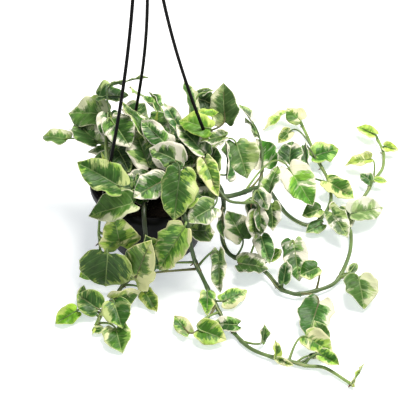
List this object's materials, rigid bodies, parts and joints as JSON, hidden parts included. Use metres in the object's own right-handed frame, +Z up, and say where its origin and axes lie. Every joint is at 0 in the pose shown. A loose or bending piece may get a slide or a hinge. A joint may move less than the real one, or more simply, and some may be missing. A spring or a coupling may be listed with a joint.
{
  "type": "potted variegated pothos with hanger",
  "caption": "Trailing pothos with cream-edged heart-shaped leaves, in a round nursery pot that stands level, with a stiff stranded hanger and hook clipped to its rim.",
  "frame": {"origin": "middle of the pot's underside, on the surface that it stands on", "axes": "+Z up through the pot to the hanger's hook, -Y towards the side that the picture looks at, +X to its right, where the long stems lie"},
  "size_m": [0.453, 0.4711, 0.5154],
  "materials": {
    "pot_plastic": "satin, moulded",
    "hanger_plastic": "satin, moulded",
    "potting_soil": "rough, crumbly",
    "foliage": "semi-gloss, green with cream edges",
    "stem": "satin"
  },
  "bodies": {
    "root": {"pot": "pot_plastic", "soil": "potting_soil", "hanger_strand_1": "hanger_plastic", "hanger_strand_2": "hanger_plastic", "hanger_strand_3": "hanger_plastic", "hanger_hook": "hanger_plastic", "trail_front": "foliage", "trail_loop": "foliage", "trail_right": "foliage", "trail_left": "foliage", "rim_left": "foliage", "rim_right": "foliage", "shoot_back_left": "foliage", "shoot_left": "foliage", "shoot_back": "foliage", "shoot_right_back": "foliage", "shoot_right": "foliage", "shoot_centre": "foliage"}
  },
  "joints": []
}
